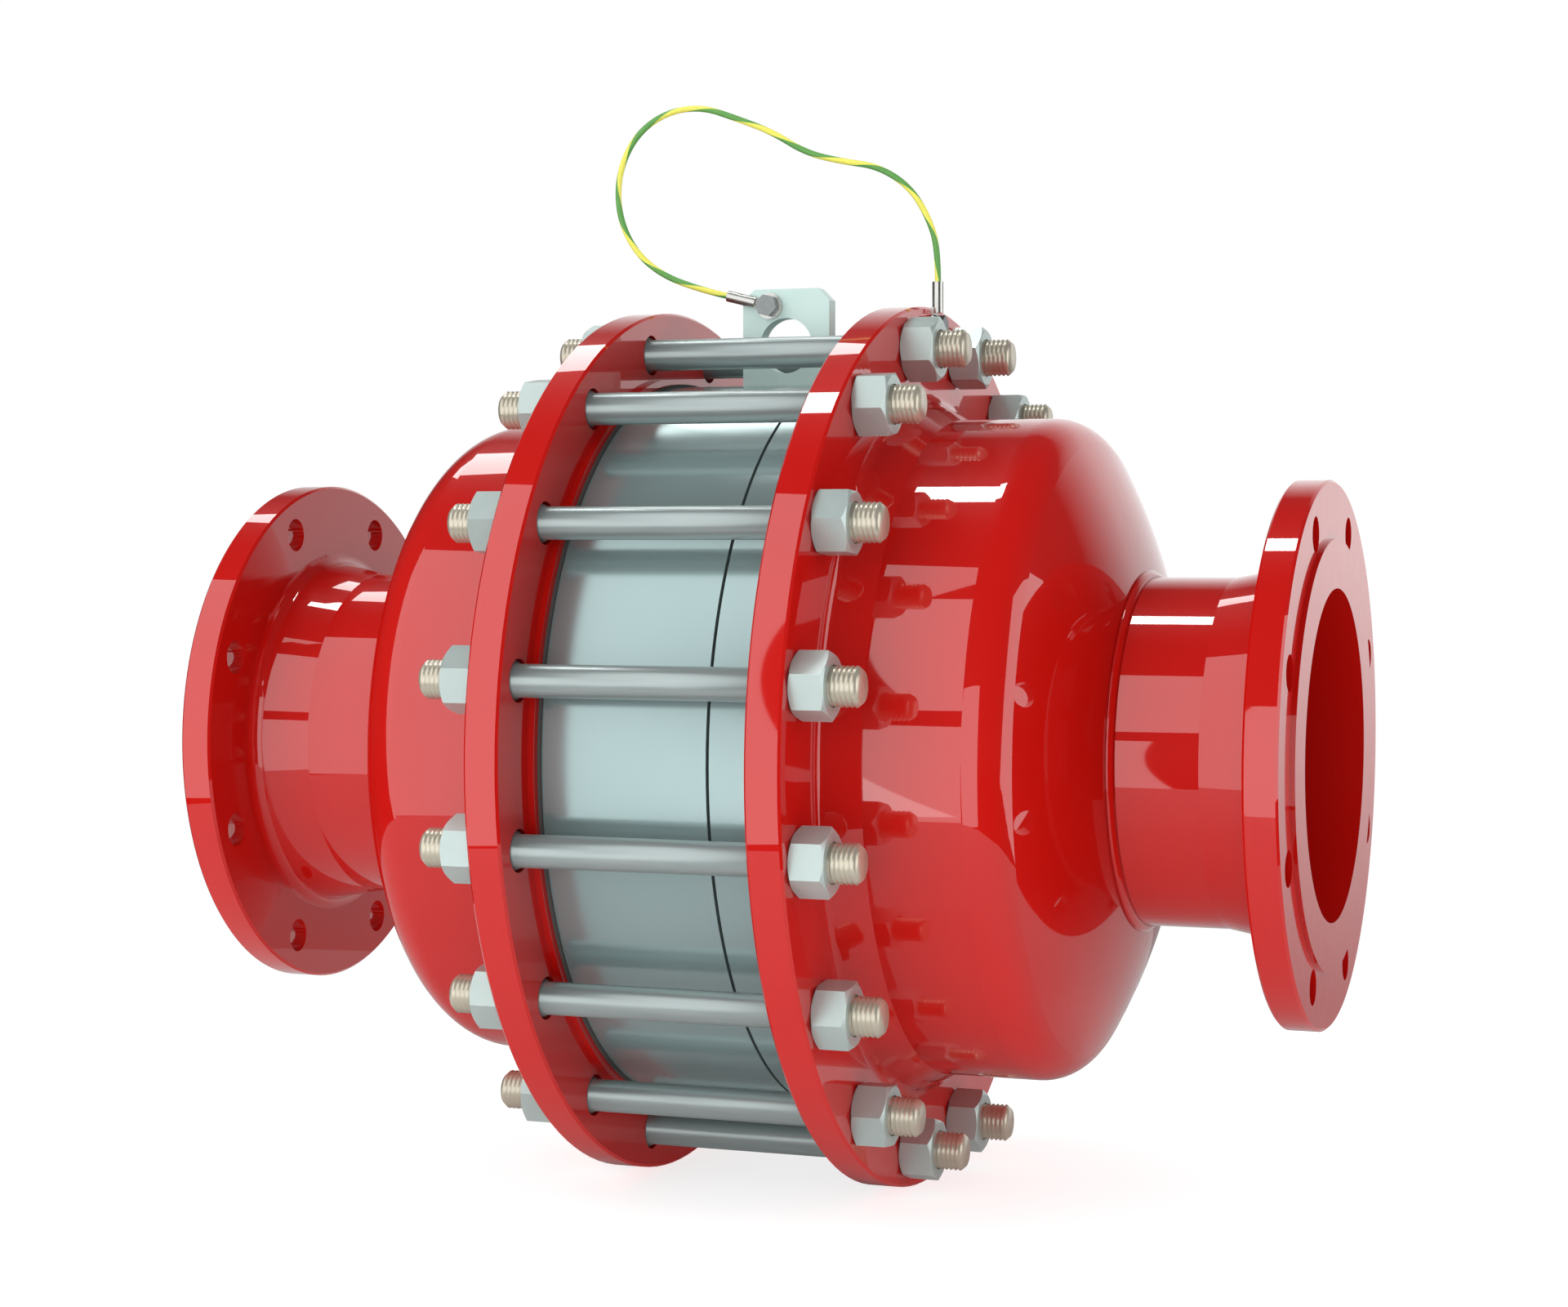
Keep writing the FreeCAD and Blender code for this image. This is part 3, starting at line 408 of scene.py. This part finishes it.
rod_zinc, wire = new_finish("stud_zinc")
where = spot(wire)
streak = wire.node("ShaderNodeMapping", None, {"Vector": where, "Scale": (4.0, 60.0, 60.0)})
cloud = noise(wire, streak, 6.0, 4.0)
off_middle = wire.node("ShaderNodeSeparateXYZ", None, {"Vector": where}) - MIDDLE
off_middle = wire.node("ShaderNodeMath", {"operation": "ABSOLUTE"}, {0: off_middle})
is_end = wire.node("ShaderNodeMapRange", None,
                   {"Value": off_middle, "From Min": WAIST_END, "From Max": THREAD_START})
waist_tone = blend_colour(wire, cloud, (0.32, 0.38, 0.38, 1), (0.42, 0.48, 0.47, 1))
end_tone = blend_colour(wire, cloud, (0.55, 0.51, 0.41, 1), (0.69, 0.64, 0.52, 1))
surface(wire, {
    "Base Color": blend_colour(wire, is_end, waist_tone, end_tone),
    "Metallic": 0.65, "Roughness": cloud * 0.12 + 0.26,
    "Normal": relief(wire, cloud, 0.00003)})
studs.data.materials.append(rod_zinc)

# Nuts, bright zinc, with a faint fine bump all over.
nut_zinc, wire = new_finish("nut_zinc")
where = spot(wire)
cloud = noise(wire, where, 70.0, 4.0)
surface(wire, {
    "Base Color": blend_colour(wire, cloud, (0.42, 0.51, 0.49, 1), (0.52, 0.61, 0.59, 1)),
    "Metallic": 0.5, "Roughness": cloud * 0.15 + 0.24,
    "Normal": relief(wire, noise(wire, where, 700.0), 0.00002)})
dress(nut_zinc, "inlet_nuts", "outlet_nuts")

# Ring terminals of tinned copper, and the dark-plated screws that hold them and the cover.
tin, wire = new_finish("tinned_copper")
fleck = noise(wire, spot(wire), 300.0, 4.0)
surface(wire, {
    "Base Color": blend_colour(wire, fleck, (0.60, 0.60, 0.57, 1), (0.74, 0.74, 0.71, 1)),
    "Metallic": 1.0, "Roughness": fleck * 0.2 + 0.2})
dress(tin, "lug_terminal", "lug_washer", "flange_terminal", "flange_washer")
dark_plate, wire = new_finish("dark_plated_screw")
fleck = noise(wire, spot(wire), 260.0, 4.0)
surface(wire, {
    "Base Color": blend_colour(wire, fleck, (0.20, 0.22, 0.23, 1), (0.34, 0.36, 0.36, 1)),
    "Metallic": 0.9, "Roughness": fleck * 0.2 + 0.3})
dress(dark_plate, "lug_screw", "lug_nut", "flange_screw", "cage_screws")


# Studio. A small pale floor, and soft lights far round it. The floor glows white, but not in
# mirror reflections, so the paint stays deep underneath.
low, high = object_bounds()
FLOOR_GAP, FLOOR_REACH = 0.001, 0.85
floor_high = low.z - FLOOR_GAP
centre = (low + high) / 2


pale_floor, wire = new_finish("studio_floor_pale")
mirrored = wire.node("ShaderNodeLightPath", out="Is Glossy Ray")
patch = noise(wire, spot(wire), 1.5)
surface(wire, {
    "Base Color": blend_colour(wire, patch, (0.50, 0.50, 0.50, 1), (0.4925, 0.4925, 0.4925, 1)),
    "Roughness": 0.9, "Emission Strength": 0.75,
    "Emission Color": blend_colour(wire, mirrored, (1, 1, 1, 1), (0, 0, 0, 1))})

bm = bmesh.new()
bmesh.ops.create_circle(bm, cap_ends=True, segments=96, radius=FLOOR_REACH,
                        matrix=Matrix.Translation((centre.x, centre.y, floor_high)))
floor = finish_piece(bm, "studio_floor", smooth=False)
floor.data.materials.append(pale_floor)

# The studio's own light comes from a world that is white to the camera. Mirror rays see the
# pale backdrop behind the object, dimmer low down, and the dark room behind the camera.
BACKDROP, ROOM, AMBIENT = 1.0, 0.03, 0.75
world = bpy.data.worlds.new("studio")
bpy.context.scene.world = world
world.use_nodes = True
world.node_tree.nodes.clear()
sky = Wire(world.node_tree)
way = sky.node("ShaderNodeTexCoord", out="Generated")
back = sky.node("ShaderNodeSeparateXYZ", None, {"Vector": way}, out=1)
rise = sky.node("ShaderNodeSeparateXYZ", None, {"Vector": way}, out=2)
behind = sky.node("ShaderNodeMapRange", None,
                  {"Value": back, "From Min": 0.72, "From Max": 0.92,
                   "To Min": ROOM, "To Max": BACKDROP})
behind = behind * sky.node("ShaderNodeMapRange", None,
                           {"Value": rise, "From Min": -0.15, "From Max": 0.0, "To Min": 0.3})
seen = sky.node("ShaderNodeLightPath", out="Is Camera Ray")
glossy = sky.node("ShaderNodeLightPath", out="Is Glossy Ray")
even = sky.node("ShaderNodeBackground", None, {"Color": (1, 1, 1, 1), "Strength": AMBIENT})
mirrored = sky.node("ShaderNodeBackground", None, {"Color": (1, 1, 1, 1), "Strength": behind})
white = sky.node("ShaderNodeBackground", None, {"Color": (1, 1, 1, 1), "Strength": 1.0})
lit = sky.node("ShaderNodeMixShader", None, {0: glossy, 1: even, 2: mirrored})
shown = sky.node("ShaderNodeMixShader", None, {0: seen, 1: lit, 2: white})
sky.node("ShaderNodeOutputWorld", None, {"Surface": shown})


def soft_box(name, turn, lift, away, wide, tall, glow, lean=0.0):
    """A rectangular soft light. Turn is in degrees from -Y towards -X, lift is above the
    horizon, lean is about its own face, and glow is how bright that face looks."""
    turn, lift = math.radians(turn), math.radians(lift)
    way = Vector((-math.sin(turn) * math.cos(lift), -math.cos(turn) * math.cos(lift),
                  math.sin(lift)))
    data = bpy.data.lights.new(name, "AREA")
    data.shape, data.size, data.size_y = "RECTANGLE", wide, tall
    data.energy = glow * math.pi * wide * tall
    light = bpy.data.objects.new(name, data)
    light.location = centre + way * away
    tip = Quaternion((0, 0, 1), math.radians(lean))
    light.rotation_euler = ((-way).to_track_quat("-Z", "Y") @ tip).to_euler()
    bpy.context.scene.collection.objects.link(light)


soft_box("panel_left", 36, 19, 4.0, 2.2, 7.2, 1.5, 12)
soft_box("panel_back_left", 137, 50, 4.0, 1.4, 0.8, 4.5)
soft_box("window_low", 13.2, -7, 4.0, 0.53, 2.3, 1.7)
soft_box("window_high", 14.4, 33, 4.0, 0.60, 2.7, 1.7, 9.5)
soft_box("window_right", -7.4, 0, 4.0, 2.1, 3.3, 1.7)
soft_box("panel_right", -95, 6, 4.0, 2.6, 3.2, 1.8, -22)
soft_box("strip_top", 124, 75.5, 4.0, 0.95, 0.55, 12.0, -54)
bpy.context.scene.view_settings.view_transform = "Standard"
